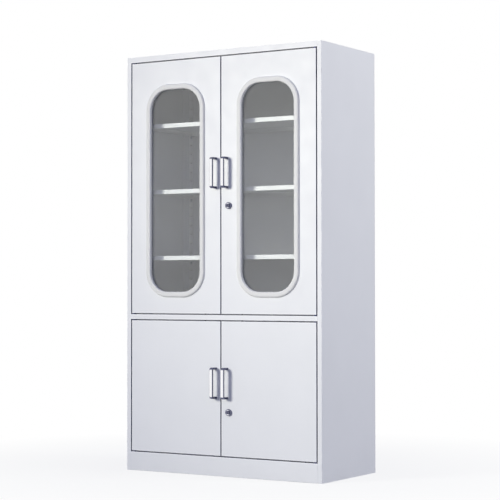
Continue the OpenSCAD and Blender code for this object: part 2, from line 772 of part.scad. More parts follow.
module bolt_guides(door_z, h) color(zinc) for (top = [false, true]) bolt_space(door_z, h, top) difference() {
    low = -bolt_l + bolt_tail;
    high = -bolt_end_room;
    union() {
        box([-bolt_saddle_w / 2, sheet_t, low], [bolt_saddle_w / 2, sheet_t + bolt_plate_t, high]);
        for (z = [low, high - bolt_saddle_h])
            box([-bolt_saddle_w / 2, sheet_t, z],
                [bolt_saddle_w / 2, bolt_v + bolt_d / 2 + bolt_plate_t, z + bolt_saddle_h]);
    }
    translate([0, bolt_v, low - cut]) cylinder(d = bolt_d + 2 * run_gap, h = bolt_l);
}

// Round bolt with a finger knob between its two saddles
module bolt(door_z, h, top) color(chrome) bolt_space(door_z, h, top) translate([0, bolt_v, 0]) {
    translate([0, 0, -bolt_l - rod_end_gap]) cylinder(d = bolt_d, h = bolt_l);
    translate([0, 0, -bolt_knob_drop]) rod_y(0, door_t - bolt_v + bolt_knob_reach, bolt_knob_d);
}

side_panel();  // left_side_panel
mirror([1, 0, 0]) side_panel();  // right_side_panel
top_panel();
middle_deck();
base_deck();
back_panel(back_seam_z, cabinet_h);  // upper_back_panel
back_panel(0, back_seam_z);  // lower_back_panel
rear_shelf_uprights();
shelf(upper_shelf_z[2]);  // top_shelf
shelf(upper_shelf_z[1]);  // middle_shelf
shelf(upper_shelf_z[0]);  // bottom_shelf
shelf(lower_shelf_z);  // lower_shelf
shelf_clips();
hinge_bushes();
door_buffers();
catch_housings();
catch_magnets();

upper_door_pan(-1);  // upper_left_door_pan
window_trim(-1);  // upper_left_window_trim
glass(-1);  // upper_left_glass
glass_retainer(-1);  // upper_left_glass_retainer
handle(-1, upper_door_z, upper_handle_z);  // upper_left_handle
handle_screws(-1, upper_door_z, upper_handle_z);  // upper_left_handle_screws
pivots(-1, upper_door_z, upper_door_h);  // upper_left_pivots
bolt_guides(upper_door_z, upper_door_h);  // upper_left_bolt_guides
bolt(upper_door_z, upper_door_h, true);  // upper_left_top_bolt
bolt(upper_door_z, upper_door_h, false);  // upper_left_bottom_bolt

upper_door_pan(1);  // upper_right_door_pan
window_trim(1);  // upper_right_window_trim
glass(1);  // upper_right_glass
glass_retainer(1);  // upper_right_glass_retainer
handle(1, upper_door_z, upper_handle_z);  // upper_right_handle
handle_screws(1, upper_door_z, upper_handle_z);  // upper_right_handle_screws
pivots(1, upper_door_z, upper_door_h);  // upper_right_pivots
rod_guides();
top_locking_rod();
bottom_locking_rod();
lock_barrel(upper_door_z, upper_lock_z);  // upper_lock_barrel
lock_nut(upper_door_z, upper_lock_z);  // upper_lock_nut
lock_plug(upper_door_z, upper_lock_z);  // upper_lock_plug
lock_driver();  // upper_lock_driver
lock_tongue(upper_door_z, upper_lock_z);  // upper_lock_tongue

lower_door_pan(-1);  // lower_left_door_pan
stiffener(-1);  // lower_left_stiffener
handle(-1, lower_door_z, lower_handle_z);  // lower_left_handle
handle_screws(-1, lower_door_z, lower_handle_z);  // lower_left_handle_screws
pivots(-1, lower_door_z, lower_door_h);  // lower_left_pivots
bolt_guides(lower_door_z, lower_door_h);  // lower_left_bolt_guides
bolt(lower_door_z, lower_door_h, true);  // lower_left_top_bolt
bolt(lower_door_z, lower_door_h, false);  // lower_left_bottom_bolt

lower_door_pan(1);  // lower_right_door_pan
stiffener(1);  // lower_right_stiffener
handle(1, lower_door_z, lower_handle_z);  // lower_right_handle
handle_screws(1, lower_door_z, lower_handle_z);  // lower_right_handle_screws
pivots(1, lower_door_z, lower_door_h);  // lower_right_pivots
lock_barrel(lower_door_z, lower_lock_z);  // lower_lock_barrel
lock_nut(lower_door_z, lower_lock_z);  // lower_lock_nut
lock_plug(lower_door_z, lower_lock_z);  // lower_lock_plug
lock_tongue(lower_door_z, lower_lock_z);  // lower_lock_tongue
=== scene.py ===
import json
import math

import bmesh
import bpy
from mathutils import Matrix, Vector

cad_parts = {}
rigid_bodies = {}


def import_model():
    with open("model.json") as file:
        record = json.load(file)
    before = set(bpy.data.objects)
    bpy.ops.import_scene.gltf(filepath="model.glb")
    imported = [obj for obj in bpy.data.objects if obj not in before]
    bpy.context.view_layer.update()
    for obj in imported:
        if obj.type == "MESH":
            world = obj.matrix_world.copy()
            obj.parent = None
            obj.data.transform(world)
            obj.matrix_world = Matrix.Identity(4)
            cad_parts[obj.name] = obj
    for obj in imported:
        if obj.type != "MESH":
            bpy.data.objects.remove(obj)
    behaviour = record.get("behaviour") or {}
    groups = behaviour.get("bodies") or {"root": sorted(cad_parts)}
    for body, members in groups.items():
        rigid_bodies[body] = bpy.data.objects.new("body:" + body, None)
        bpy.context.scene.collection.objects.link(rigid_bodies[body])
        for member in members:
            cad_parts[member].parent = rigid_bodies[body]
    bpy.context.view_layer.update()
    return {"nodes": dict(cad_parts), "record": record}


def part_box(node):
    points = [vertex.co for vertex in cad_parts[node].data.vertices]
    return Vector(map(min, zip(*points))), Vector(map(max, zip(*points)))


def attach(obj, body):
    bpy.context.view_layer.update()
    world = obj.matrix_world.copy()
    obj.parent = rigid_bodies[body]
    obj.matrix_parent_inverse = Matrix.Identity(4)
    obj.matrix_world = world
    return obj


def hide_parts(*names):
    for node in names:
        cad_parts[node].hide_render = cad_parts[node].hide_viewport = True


for leftover in list(bpy.data.objects):
    bpy.data.objects.remove(leftover)
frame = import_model()
nodes = frame["nodes"]
scene = bpy.context.scene

SIDES = ("left", "right")
LEVELS = ("upper", "lower")

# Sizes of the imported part, in metres. Depths called v are counted back from the front frame.
MM = 0.001
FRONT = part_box("left_side_panel")[0].y
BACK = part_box("upper_back_panel")[1].y
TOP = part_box("left_side_panel")[1].z
SIDE = -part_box("left_side_panel")[0].x
DECK_LEVEL = 80 * MM
FOLD_DEPTH = 22.5 * MM

# Middles of the gaps round the doors: the side gaps both ways from the centre, and the level ones
SIDE_GAP = SIDE - 22.75 * MM
LEVEL_GAPS = (80.75 * MM, 635.75 * MM, 661.25 * MM, TOP - 25.75 * MM)
HALF_GAP = 2.25 * MM

# How far the gaps' paint reaches from a gap's middle: painted shade in the gap's walls, which
# lies between two depths, and a painted highlight line on the folds, fading out from its full width
WALL_REACH = HALF_GAP + 0.5 * MM
GAP_SHADE_FROM, GAP_SHADE_TO = 1.0 * MM, 8.0 * MM
HIGHLIGHT_FULL, HIGHLIGHT_REACH = HALF_GAP + 3.0 * MM, HALF_GAP + 6.0 * MM
SKIN = 0.4 * MM

# Other depths where the paint changes: the shelves' white edge, the lip in front of the trims,
# which is painted lighter, and how far back the painted gap shade reaches on pins and bushes
SHELF_EDGE = 1.2 * MM
LIP_LIGHT_FROM, LIP_LIGHT_FULL = -5 * MM, -1 * MM
PIVOT_DEPTH = 30 * MM

# Colours, and what the clear and moulded materials refract
WHITE = (0.83, 0.83, 0.845)
SHELF_WHITE = (0.93, 0.93, 0.93)
GREY = (0.89, 0.89, 0.886)
# Painted light: the back is a little lighter than the other inside faces, to lift its shade
BACK_GREY_LIFTED = (0.925, 0.922, 0.915)
# Painted highlight: a lighter line along the folds beside the door gaps
FOLD_HIGHLIGHT = (0.90, 0.90, 0.91)
# Painted shade: a dark strip in the walls of the door gaps
GAP_SHADE = (0.022, 0.027, 0.13)
TRIM_FACE = (0.73, 0.722, 0.71)
# Painted light: the trim lighter near the door, and lightest on the walls that face the pane
TRIM_LIP_PAINTED_LIGHT = (0.86, 0.86, 0.85)
TRIM_WALL_PAINTED_LIGHT = (0.95, 0.945, 0.92)
NYLON_WHITE = (0.72, 0.71, 0.67)
ZINC_GREY = (0.60, 0.62, 0.64)
BOLT_GREY = (0.70, 0.71, 0.74)
# Painted reflection on the bow: dark and blue on its flanks, bright on the faces that look out
BOW_FLANK_PAINTED_DARK, BOW_FACE = (0.12, 0.125, 0.20), (0.93, 0.93, 0.95)
# Painted reflection on the lock: highlights above and below the keyway, dark elsewhere
LOCK_PAINTED_DARK, LOCK_PAINTED_HIGHLIGHT = (0.165, 0.17, 0.245), (0.92, 0.92, 0.95)
BEAD_GREY = (0.24, 0.24, 0.24)
RUBBER_BLACK = (0.035, 0.035, 0.038)
PLASTIC_BLACK = (0.03, 0.03, 0.033)
GLASS_TINT = (0.985, 0.992, 0.988)
GLASS_IOR = 1.74
MOULDING_IOR = 1.49


# Nodes


def node(tree, kind, inputs=None, **settings):
    """Adds a node. Each input is a socket to link from, or a value to set."""
    added = tree.nodes.new(kind)
    for key, value in settings.items():
        setattr(added, key, value)
    for key, value in (inputs or {}).items():
        if isinstance(value, bpy.types.NodeSocket):
            tree.links.new(value, added.inputs[key])
        else:
            added.inputs[key].default_value = value
    return added


def empty_tree(owner, output_kind):
    """Gives a material or a world a tree that holds nothing but its output."""
    owner.use_nodes = True
    tree = owner.node_tree
    tree.nodes.clear()
    return tree, tree.nodes.new(output_kind)


def new_material(name):
    mat = bpy.data.materials.new(name)
    tree, out = empty_tree(mat, "ShaderNodeOutputMaterial")
    shader = node(tree, "ShaderNodeBsdfPrincipled")
    tree.links.new(shader.outputs[0], out.inputs[0])
    return mat, tree, shader


def coordinate(tree, kind="Object"):
    return node(tree, "ShaderNodeTexCoord").outputs[kind]


def split(tree, kind="Object"):
    """The three parts of a coordinate."""
    return node(tree, "ShaderNodeSeparateXYZ", {0: coordinate(tree, kind)}).outputs[:3]


def math_node(tree, operation, a, b=0.0):
    return node(tree, "ShaderNodeMath", {0: a, 1: b}, operation=operation).outputs[0]


def size_of(tree, value):
    return math_node(tree, "ABSOLUTE", value)


def ramp(tree, value, low, high, to_low=0.0, to_high=1.0):
    inputs = {
        "Value": value,
        "From Min": low,
        "From Max": high,
        "To Min": to_low,
        "To Max": to_high,
    }
    return node(tree, "ShaderNodeMapRange", inputs).outputs[0]


def noise(tree, scale, detail=3.0, roughness=0.5, where=None):
    where = where or coordinate(tree)
    inputs = {"Vector": where, "Scale": scale, "Detail": detail, "Roughness": roughness}
    return node(tree, "ShaderNodeTexNoise", inputs).outputs["Fac"]


def patchy(tree, scale, low, high):
    """Soft patches between two values."""
    return ramp(tree, noise(tree, scale), 0.3, 0.7, to_low=low, to_high=high)


def bump(tree, height, strength, distance, under=None):
    inputs = {"Height": height, "Strength": strength, "Distance": distance}
    if under is not None:
        inputs["Normal"] = under
    return node(tree, "ShaderNodeBump", inputs).outputs[0]


def rgba(r, g, b):
    return (r, g, b, 1.0)


def mix_colour(tree, factor, a, b):
    return node(tree, "ShaderNodeMix", {0: factor, 6: a, 7: b}, data_type="RGBA").outputs[2]


def mix_shader(tree, factor, a, b):
    inputs = {0: factor, 1: a.outputs[0], 2: b.outputs[0]}
    return node(tree, "ShaderNodeMixShader", inputs)


def varied(tree, colour, amount, scale):
    """The colour, a little lighter and darker in soft patches."""
    low = rgba(*(c * (1 - amount) for c in colour))
    high = rgba(*(min(1.0, c * (1 + amount)) for c in colour))
    return mix_colour(tree, patchy(tree, scale, 0.0, 1.0), low, high)


def finish(tree, shader, colour, roughness, normal):
    for key, value in (("Base Color", colour), ("Roughness", roughness), ("Normal", normal)):
        tree.links.new(value, shader.inputs[key])


# Masks, which are one where they hold and zero elsewhere


def above(tree, value, edge):
    return math_node(tree, "GREATER_THAN", value, edge)


def below(tree, value, edge):
    return math_node(tree, "LESS_THAN", value, edge)


def chain(tree, operation, masks):
    out = masks[0]
    for mask in masks[1:]:
        out = math_node(tree, operation, out, mask)
    return out


def all_of(tree, *masks):
    return chain(tree, "MULTIPLY", masks)


def any_of(tree, *masks):
    return chain(tree, "MAXIMUM", masks)


def between(tree, value, low, high):
    return all_of(tree, above(tree, value, low), below(tree, value, high))


def on_fold_highlight(tree, value, middle_at):
    """Painted highlight line on the folds: full beside the gap with this middle, fading out at its
    reach.
    """
    away = size_of(tree, math_node(tree, "SUBTRACT", value, middle_at))
    return ramp(tree, away, HIGHLIGHT_FULL, HIGHLIGHT_REACH, to_low=1.0, to_high=0.0)


def in_walls(tree, value, middle_at):
    """Holds in the walls of the gap with this middle."""
    return between(tree, value, middle_at - WALL_REACH, middle_at + WALL_REACH)


def along_gaps(tree, x, z, close_to, reach, centre_line):
    """Holds near every door gap, seen from the front. Only the doors have the gap on the centre."""
    across = size_of(tree, x)
    level = any_of(tree, *(close_to(tree, z, at) for at in LEVEL_GAPS))
    upright = between(tree, z, LEVEL_GAPS[0] - reach, LEVEL_GAPS[-1] + reach)
    lines = [
        all_of(tree, level, below(tree, across, SIDE_GAP + reach)),
        all_of(tree, close_to(tree, across, SIDE_GAP), upright),
    ]
    if centre_line:
        lines.append(close_to(tree, x, 0.0))
    return any_of(tree, *lines)


# Materials


def with_painted_shade(tree, paint, where):
    """Lays dark painted shade over the paint."""
    return mix_colour(tree, where, paint, varied(tree, GAP_SHADE, amount=0.2, scale=40.0))


def paint_shade_in_gaps(tree, paint, x, y, z, centre_line):
    """Paints dark shade into the walls of the door gaps."""
    walls = along_gaps(tree, x, z, in_walls, WALL_REACH, centre_line)
    walls = all_of(tree, walls, between(tree, y, FRONT + GAP_SHADE_FROM, FRONT + GAP_SHADE_TO))
    return with_painted_shade(tree, paint, walls)


def white_with_highlights(tree, x, y, z, centre_line):
    """White, with a thin painted highlight line along the folds on both sides of each door gap."""
    folds = along_gaps(tree, x, z, on_fold_highlight, HIGHLIGHT_REACH, centre_line)
    folds = all_of(tree, folds, below(tree, y, FRONT + SKIN))
    return mix_colour(tree, folds, varied(tree, WHITE, amount=0.012, scale=5.0), rgba(*FOLD_HIGHLIGHT))


def powder_coat(tree, shader, colour, roughness):
    """Orange peel about 2 mm across, finer grain in it, and slight changes in sheen."""
    peel, grain = noise(tree, scale=520.0, detail=2.0), noise(tree, scale=2600.0, detail=1.0)
    peeled = bump(tree, peel, strength=0.22, distance=0.25 * MM)
    grained = bump(tree, grain, strength=0.10, distance=0.06 * MM, under=peeled)
    sheen = patchy(tree, scale=14.0, low=roughness - 0.03, high=roughness + 0.04)
    finish(tree, shader, colour, sheen, grained)


def carcass_paint(name, inner_grey):
    """White outside with painted highlights along the gaps' folds, grey on the faces that look into
    the compartments, and painted shade in the door gaps.
    """
    mat, tree, shader = new_material(name)
    x, y, z = split(tree)
    inner = all_of(
        tree,
        below(tree, size_of(tree, x), SIDE - SKIN),
        between(tree, y, FRONT + FOLD_DEPTH, BACK - SKIN),
        between(tree, z, DECK_LEVEL, TOP - SKIN),
    )
    outside = white_with_highlights(tree, x, y, z, centre_line=False)
    paint = mix_colour(tree, inner, outside, varied(tree, inner_grey, amount=0.02, scale=9.0))
    paint = paint_shade_in_gaps(tree, paint, x, y, z, centre_line=False)
    powder_coat(tree, shader, paint, roughness=0.46)
    return mat


def door_paint():
    mat, tree, shader = new_material("door_powder_coat")
    x, y, z = split(tree)
    # White with painted highlight lines along the folds, and painted shade in the walls of the door
    # gaps
    paint = white_with_highlights(tree, x, y, z, centre_line=True)
    paint = paint_shade_in_gaps(tree, paint, x, y, z, centre_line=True)
    powder_coat(tree, shader, paint, roughness=0.46)
    return mat


def shelf_paint():
    """Grey shelves with a white front edge."""
    mat, tree, shader = new_material("shelf_powder_coat")
    edge = below(tree, split(tree)[1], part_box("top_shelf")[0].y + SHELF_EDGE)
    grey = varied(tree, GREY, amount=0.03, scale=9.0)
    white = varied(tree, SHELF_WHITE, amount=0.01, scale=9.0)
    powder_coat(tree, shader, mix_colour(tree, edge, grey, white), roughness=0.42)
    return mat


def grey_paint(name, colour):
    mat, tree, shader = new_material(name)
    powder_coat(tree, shader, varied(tree, colour, amount=0.02, scale=9.0), roughness=0.45)
    return mat


def paint_gap_shade_over(mat):
    """Lays painted gap shade over a material where it crosses a level door gap near the front."""
    tree = mat.node_tree
    shader = next(n for n in tree.nodes if n.type == "BSDF_PRINCIPLED")
    colour = shader.inputs["Base Color"]
    _, y, z = split(tree)
    levels = [between(tree, z, at - HALF_GAP, at + HALF_GAP) for at in LEVEL_GAPS]
    where = all_of(tree, any_of(tree, *levels), below(tree, y, FRONT + PIVOT_DEPTH))
    tree.links.new(with_painted_shade(tree, colour.links[0].from_socket, where), colour)
    return mat


def moulding():
    """White moulded trim with a satin skin. Painted light makes it lighter near the door, and
    lightest on the upright walls that face the pane.
    """
    mat, tree, shader = new_material("white_moulding")
    x, y, _ = split(tree)
    # Painted light: lighter towards the door than on the face
    lip = ramp(tree, y, FRONT + LIP_LIGHT_FROM, FRONT + LIP_LIGHT_FULL)
    whites = (varied(tree, colour, amount=0.01, scale=8.0) for colour in (TRIM_FACE, TRIM_LIP_PAINTED_LIGHT))
    skin = mix_colour(tree, lip, *whites)
    # Away is the way along x that leads from the window's middle to the outside, plus or minus one
    low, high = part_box("upper_right_window_trim")
    past_middle = math_node(tree, "SUBTRACT", size_of(tree, x), (low.x + high.x) / 2)
    away = math_node(tree, "SIGN", math_node(tree, "MULTIPLY", x, past_middle))
    faces_away = math_node(tree, "MULTIPLY", split(tree, "Normal")[0], away)
    # Painted light on the upright walls that face the pane, which lie in shade
    inner_wall = ramp(tree, faces_away, low=-0.7, high=-0.3, to_low=1.0, to_high=0.0)
    skin = mix_colour(tree, inner_wall, skin, rgba(*TRIM_WALL_PAINTED_LIGHT))
    grain = noise(tree, scale=1400.0, detail=2.0)
    grained = bump(tree, grain, strength=0.05, distance=0.05 * MM)
    finish(tree, shader, skin, patchy(tree, scale=60.0, low=0.52, high=0.60), grained)
    shader.inputs["IOR"].default_value = MOULDING_IOR
    return mat


def metal(name, colour, roughness, scratch=0.05, spread=0.06):
    """Plated metal with fine scratches and a slightly uneven polish."""
    mat, tree, shader = new_material(name)
    shader.inputs["Metallic"].default_value = 1.0
    stretch = {"Vector": coordinate(tree), "Scale": (900.0, 900.0, 60.0)}
    stretched = node(tree, "ShaderNodeMapping", stretch).outputs[0]
    lines = noise(tree, scale=1.0, roughness=0.6, where=stretched)
    uneven = math_node(tree, "MULTIPLY", lines, noise(tree, scale=90.0))
    rougher = roughness + spread
    polish = ramp(tree, uneven, low=0.1, high=0.5, to_low=roughness, to_high=rougher)
    scratches = bump(tree, lines, strength=scratch, distance=0.03 * MM)
    finish(tree, shader, varied(tree, colour, amount=0.02, scale=40.0), polish, scratches)
    return mat


def chrome(tree, shader, colour, haze, haze_scale, grain_scale):
    """Chrome with a thin haze, whose roughness lies between two values, and a very fine grain."""
    shader.inputs["Metallic"].default_value = 1.0
    grained = bump(tree, noise(tree, grain_scale), strength=0.04, distance=0.02 * MM)
    finish(tree, shader, colour, patchy(tree, haze_scale, *haze), grained)


def bow_chrome():
    """Painted reflection: bright on the faces that look out, darker and bluer on the flanks, as in
    the photograph.
    """
    mat, tree, shader = new_material("bow_chrome")
    looks_out = ramp(tree, size_of(tree, split(tree, "Normal")[1]), low=0.90, high=0.99)
    colour = mix_colour(tree, looks_out, rgba(*BOW_FLANK_PAINTED_DARK), rgba(*BOW_FACE))
    chrome(tree, shader, colour, haze=(0.08, 0.16), haze_scale=220.0, grain_scale=700.0)
    return mat


def lock_chrome():
    """Painted highlights on the slanted faces above and below the keyway; all else has a painted
    dark reflection in deep blue grey.
    """
    mat, tree, shader = new_material("lock_chrome")
    sideways, outwards, upright = (size_of(tree, part) for part in split(tree, "Normal"))
    steeper = math_node(tree, "SUBTRACT", upright, sideways)
    above_or_below = ramp(tree, steeper, low=0.0, high=0.08)
    slanted = all_of(tree, above_or_below, ramp(tree, outwards, low=0.80, high=0.90))
    colour = mix_colour(tree, slanted, rgba(*LOCK_PAINTED_DARK), rgba(*LOCK_PAINTED_HIGHLIGHT))
    chrome(tree, shader, colour, haze=(0.14, 0.22), haze_scale=300.0, grain_scale=900.0)
    return mat


def plain_plastic(name, colour, roughness, grain=0.08):
    mat, tree, shader = new_material(name)
    grained = bump(tree, noise(tree, scale=1800.0, detail=2.0), strength=grain, distance=0.06 * MM)
    sheen = patchy(tree, scale=150.0, low=roughness - 0.05, high=roughness + 0.05)
    finish(tree, shader, varied(tree, colour, amount=0.04, scale=60.0), sheen, grained)
    return mat


def window_glass():
    """Flat glass that lets the lamps through, with a mirror skin and a trace of green in it."""
    mat = bpy.data.materials.new("window_glass")
    tree, out = empty_tree(mat, "ShaderNodeOutputMaterial")
    through = node(tree, "ShaderNodeBsdfTransparent", {"Color": rgba(*GLASS_TINT)})
    skin = node(tree, "ShaderNodeBsdfGlossy", {"Color": rgba(1.0, 1.0, 1.0), "Roughness": 0.02})
    # Seen from inside the pane the index is turned over, so that both skins mirror alike
    inside = node(tree, "ShaderNodeNewGeometry").outputs["Backfacing"]
    index = ramp(tree, inside, 0.0, 1.0, to_low=GLASS_IOR, to_high=1.0 / GLASS_IOR)
    mirrored = node(tree, "ShaderNodeFresnel", {"IOR": index}).outputs[0]
    tree.links.new(mix_shader(tree, mirrored, through, skin).outputs[0], out.inputs[0])
    return mat


def zinc(name):
    return metal(name, ZINC_GREY, roughness=0.32, scratch=0.10, spread=0.14)


def nylon(name):
    return plain_plastic(name, NYLON_WHITE, roughness=0.42)


CARCASS = carcass_paint("carcass_powder_coat", GREY)
BACK_PAINT = carcass_paint("back_powder_coat", BACK_GREY_LIFTED)
SHELF = shelf_paint()
TRIM = moulding()
CHROME = bow_chrome()
LOCK_CHROME = lock_chrome()
BOLT_CHROME = metal("bolt_chrome", BOLT_GREY, roughness=0.16)
ZINC = zinc("zinc_plate")
BEAD = plain_plastic("grey_glazing_rubber", BEAD_GREY, roughness=0.6, grain=0.12)
# Pins and bushes carry the painted gap shade where they cross the level gaps
PIVOT_STEEL = paint_gap_shade_over(zinc("pivot_zinc"))

BY_SLOT = {
    "cabinet_steel": door_paint(),
    "inner_steel": grey_paint("inner_grey_powder_coat", GREY),
    "window_trim": TRIM,
    "glass": window_glass(),
    "handle_chrome": CHROME,
    "lock_chrome": LOCK_CHROME,
    "zinc_steel": ZINC,
    "nylon": nylon("nylon"),
    "rubber": plain_plastic("rubber", RUBBER_BLACK, roughness=0.7, grain=0.15),
    "black_plastic": plain_plastic("black_plastic", PLASTIC_BLACK, roughness=0.45),
}

# Nodes that are painted otherwise than their slot
BY_NODE = {
    "left_side_panel": CARCASS,
    "right_side_panel": CARCASS,
    "top_panel": CARCASS,
    "middle_deck": CARCASS,
    "base_deck": CARCASS,
    "upper_back_panel": BACK_PAINT,
    "lower_back_panel": BACK_PAINT,
    "rear_shelf_uprights": grey_paint("upright_powder_coat", BACK_GREY_LIFTED),
    "top_shelf": SHELF,
    "middle_shelf": SHELF,
    "bottom_shelf": SHELF,
    "lower_shelf": SHELF,
    "hinge_bushes": paint_gap_shade_over(nylon("bush_nylon")),
    "upper_left_pivots": PIVOT_STEEL,
    "upper_right_pivots": PIVOT_STEEL,
    "lower_left_pivots": PIVOT_STEEL,
    "lower_right_pivots": PIVOT_STEEL,
}

for part in frame["record"]["subparts"]:
    mesh = nodes[part["node"]].data
    mesh.materials.clear()
    mesh.materials.append(BY_NODE.get(part["node"], BY_SLOT[part["material_slot"]]))


# Meshes

SHARP_ANGLE = 35.0
TURNED_STEPS = 72
KNOB_STEPS = 36
WINDOW_STEPS = 20
BEND_STEPS = 14
EDGE_STEPS = 5

# The corners of a rounded rectangle: the way to each along both axes, and where its arc starts
CORNERS = ((1, 1, 0), (-1, 1, 90), (-1, -1, 180), (1, -1, 270))


def make_piece(name, bm, mat, body, stands_for):
    """Turns a bmesh into a piece that rides on a body and stands for CAD nodes."""
    bmesh.ops.recalc_face_normals(bm, faces=bm.faces)
    mesh = bpy.data.meshes.new(name)
    bm.to_mesh(mesh)
    bm.free()
    for face in mesh.polygons:
        face.use_smooth = True
    mesh.set_sharp_from_angle(angle=math.radians(SHARP_ANGLE))
    obj = bpy.data.objects.new(name, mesh)
    scene.collection.objects.link(obj)
    obj.data.materials.append(mat)
    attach(obj, body)
    if stands_for:
        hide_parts(*stands_for)


def ring_faces(bm, rings, closed):
    """Faces between rings of vertices, and from the last ring to the first where closed."""
    count, width = len(rings), len(rings[0])
    for i in range(count if closed else count - 1):
        a, b = rings[i], rings[(i + 1) % count]
        for k in range(width):
            bm.faces.new((a[k], a[(k + 1) % width], b[(k + 1) % width], b[k]))


def arc(centre, radius, start, end, steps):
    """Points on an arc, angles in degrees."""
    out = []
    for i in range(steps + 1):
        a = math.radians(start + (end - start) * i / steps)
        out.append((centre[0] + radius * math.cos(a), centre[1] + radius * math.sin(a)))
    return out


# Window trims and glazing beads

# Sizes of the trim's section. The middle of its face is a share of its width.
WINDOW_R = 108 * MM
TRIM_W = 23 * MM
TRIM_RISE = 8 * MM
OUTER_R, INNER_R = 7.5 * MM, 5 * MM
MID_FACE = 0.55
BODY_INSET = 15 * MM
BODY_BEVEL = 0.6 * MM
GLASS_V = 6 * MM
TOUCH = 0.02 * MM


def window_ring(name, side, profile, mat, stands_for):
    """Sweeps a profile of (inset from the trim's outline, depth v) round a window."""
    low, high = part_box(f"upper_{side}_window_trim")
    cx, cz = (low.x + high.x) / 2, (low.z + high.z) / 2
    straight_x, straight_z = (high.x - low.x) / 2 - WINDOW_R, (high.z - low.z) / 2 - WINDOW_R
    bm = bmesh.new()
    rings = []
    for sx, sz, start in CORNERS:
        x, z = cx + sx * straight_x, cz + sz * straight_z
        for i in range(WINDOW_STEPS + 1):
            a = math.radians(start + 90 * i / WINDOW_STEPS)
            ring = []
            for inset, v in profile:
                r = WINDOW_R - inset
                ring.append(bm.verts.new((x + r * math.cos(a), FRONT + v, z + r * math.sin(a))))
            rings.append(ring)
    ring_faces(bm, rings, closed=True)
    make_piece(name, bm, mat, f"upper_{side}_door", stands_for)


def window_moulding(side):
    """A round outer edge, a flat face, a round inner edge and a body in the door's cut-out."""
    body_v = GLASS_V - TOUCH
    profile = [(0.0, 0.0)]
    profile += arc((OUTER_R, -(TRIM_RISE - OUTER_R)), OUTER_R, 180, 270, steps=12)
    profile += [(TRIM_W * MID_FACE, -TRIM_RISE)]
    profile += arc((TRIM_W - INNER_R, -(TRIM_RISE - INNER_R)), INNER_R, 270, 360, steps=10)
    profile += [(TRIM_W, 0.0), (TRIM_W, body_v - BODY_BEVEL), (TRIM_W - BODY_BEVEL, body_v)]
    profile += [(BODY_INSET + BODY_BEVEL, body_v), (BODY_INSET, body_v - BODY_BEVEL)]
    profile += [(BODY_INSET, 0.0)]
    name, stands_for = f"window_moulding_{side}", [f"upper_{side}_window_trim"]
    window_ring(name, side, profile, TRIM, stands_for)


def glazing_bead(side):
    """Grey rubber bead between the moulding and the glass."""
    # Millimetres inwards from the trim's inner edge, and back from the glass
    section = ((-0.2, -1.5), (0.5, -1.4), (1.1, -0.9), (1.2, -0.02), (-0.2, -0.02))
    edge, glass_v = TRIM_W / MM, GLASS_V / MM
    profile = [((edge + inset) * MM, (glass_v + v) * MM) for inset, v in section]
    window_ring(f"glazing_bead_{side}", side, profile, BEAD, [])


# Handles

BAR_THICK = 8.5 * MM
BAR_EDGE_R = 2.4 * MM
BEND_R = 12 * MM


def bar_section(width):
    """The bar's rounded rectangle, as points (across, along the thickness)."""
    out = []
    for sx, sy, start in CORNERS:
        centre = (sx * (width / 2 - BAR_EDGE_R), sy * (BAR_THICK / 2 - BAR_EDGE_R))
        out += arc(centre, BAR_EDGE_R, start, start + 90, EDGE_STEPS)
    return out


def make_handle(level, side):
    """A flat bar bent into a bow, its edges rounded and its ends flat on the door."""
    node_name = f"{level}_{side}_handle"
    low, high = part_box(node_name)
    cx, cz = (low.x + high.x) / 2, (low.z + high.z) / 2
    mid_r = BEND_R - BAR_THICK / 2
    leg_z = (high.z - low.z) / 2 - BAR_THICK / 2
    grip_y = -(high.y - low.y - BAR_THICK / 2)
    bend = [math.radians(90 * i / BEND_STEPS) for i in range(BEND_STEPS + 1)]
    # Points (y, z, turn) on the bar's middle line, from the lower foot to the upper one
    line = [(0.0, -leg_z, 0.0)]
    for a in bend:
        line.append((grip_y + mid_r - mid_r * math.sin(a), -leg_z + mid_r - mid_r * math.cos(a), a))
    line += [(grip_y, z, math.pi / 2) for z in (-leg_z / 2, 0.0, leg_z / 2)]
    for a in bend:
        y, z = grip_y + mid_r - mid_r * math.cos(a), leg_z - mid_r + mid_r * math.sin(a)
        line.append((y, z, math.pi / 2 + a))
    line.append((0.0, leg_z, math.pi))
    section = bar_section(high.x - low.x)
    bm = bmesh.new()
    rings = []
    for y, z, turn in line:
        # Outwards is down at the lower leg, forwards along the grip and up at the upper leg
        out_y, out_z = -math.sin(turn), -math.cos(turn)
        places = [(cx + u, FRONT + y + t * out_y, cz + z + t * out_z) for u, t in section]
        rings.append([bm.verts.new(place) for place in places])
    ring_faces(bm, rings, closed=False)
    bm.faces.new(rings[0])
    bm.faces.new(rings[-1])
    name = f"bow_handle_{level}_{side}"
    make_piece(name, bm, CHROME, f"{level}_{side}_door", [node_name])


# Turned pieces. Their profiles are in millimetres, as rows of (place along the axis, radius).

TINY = 1e-9


def turned(bm, rows, centre, axis="y", hollow=False, steps=TURNED_STEPS):
    """Turns a profile about an axis through the centre. A radius may be a function of the angle."""
    rings = []
    for along, radius in rows:
        ring = []
        for k in range(steps):
            a = 2 * math.pi * k / steps
            r = (radius(a) if callable(radius) else radius) * MM
            u, w, t = r * math.cos(a), r * math.sin(a), along * MM
            place = (u, t, w) if axis == "y" else (u, w, t)
            ring.append(bm.verts.new([c + p for c, p in zip(centre, place)]))
        rings.append(ring)
    ring_faces(bm, rings, closed=hollow)
    if not hollow:
        bm.faces.new(rings[0])
        bm.faces.new(rings[-1])


def in_box(a, across, along):
    """Radius at which a line at angle a leaves a rectangle of these half sizes."""
    c, s = max(abs(math.cos(a)), TINY), max(abs(math.sin(a)), TINY)
    return min(across / c, along / s)


def box_hole(across, along):
    return lambda a: in_box(a, across, along)


